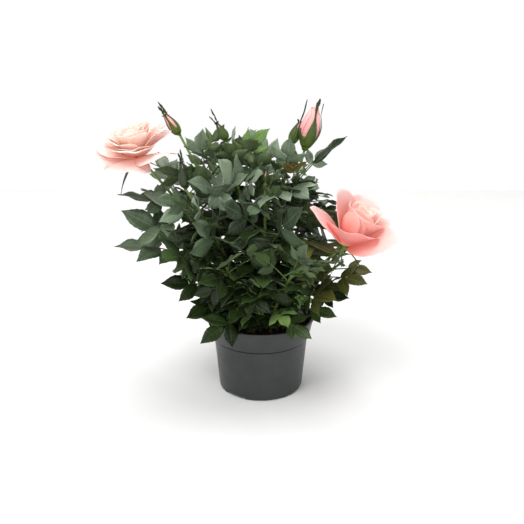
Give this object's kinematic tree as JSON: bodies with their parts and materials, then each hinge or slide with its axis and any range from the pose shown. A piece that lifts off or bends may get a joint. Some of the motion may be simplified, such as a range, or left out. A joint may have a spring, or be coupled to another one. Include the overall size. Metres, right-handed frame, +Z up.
{
  "type": "potted rose bush",
  "caption": "Miniature rose bush in a low round nursery pot, with leafy shoots that lean out from the soil, open double blooms and closed buds on thin stalks.",
  "frame": {"origin": "middle of the pot's flat underside, on the surface that it stands on", "axes": "+Z up along the pot's axis, -Y towards the side seen first, +X to that side's right"},
  "size_m": [0.2657, 0.1929, 0.283],
  "materials": {
    "pot_plastic": "matt dark grey moulded plastic",
    "potting_soil": "crumbly dark brown soil",
    "green_cane": "smooth green bark",
    "leaves": "satin dark grey-green leaf",
    "rose_petals": "soft matt salmon-pink petal",
    "green_buds": "satin green sepal"
  },
  "bodies": {
    "root": {"pot": "pot_plastic", "soil": "potting_soil", "left_rose_cane": "green_cane", "left_bud_cane": "green_cane", "dark_bud_cane": "green_cane", "top_bud_cane": "green_cane", "middle_bud_cane": "green_cane", "right_bud_cane": "green_cane", "twin_bud_cane": "green_cane", "right_rose_cane": "green_cane", "left_low_cane": "green_cane", "right_low_cane": "green_cane", "front_left_cane": "green_cane", "front_right_cane": "green_cane", "back_left_cane": "green_cane", "back_cane": "green_cane", "back_right_cane": "green_cane", "back_low_cane": "green_cane", "back_low_left_cane": "green_cane", "left_rose_foliage": "leaves", "left_bud_foliage": "leaves", "dark_bud_foliage": "leaves", "top_bud_foliage": "leaves", "middle_bud_foliage": "leaves", "right_bud_foliage": "leaves", "twin_bud_foliage": "leaves", "right_rose_foliage": "leaves", "left_low_foliage": "leaves", "right_low_foliage": "leaves", "front_left_foliage": "leaves", "front_right_foliage": "leaves", "back_left_foliage": "leaves", "back_foliage": "leaves", "back_right_foliage": "leaves", "back_low_foliage": "leaves", "back_low_left_foliage": "leaves", "rose_left": "rose_petals", "rose_right": "rose_petals", "bud_left": "green_buds", "bud_dark": "green_buds", "bud_top": "green_buds", "bud_middle": "green_buds", "bud_right": "green_buds", "bud_twin": "green_buds"}
  },
  "joints": []
}
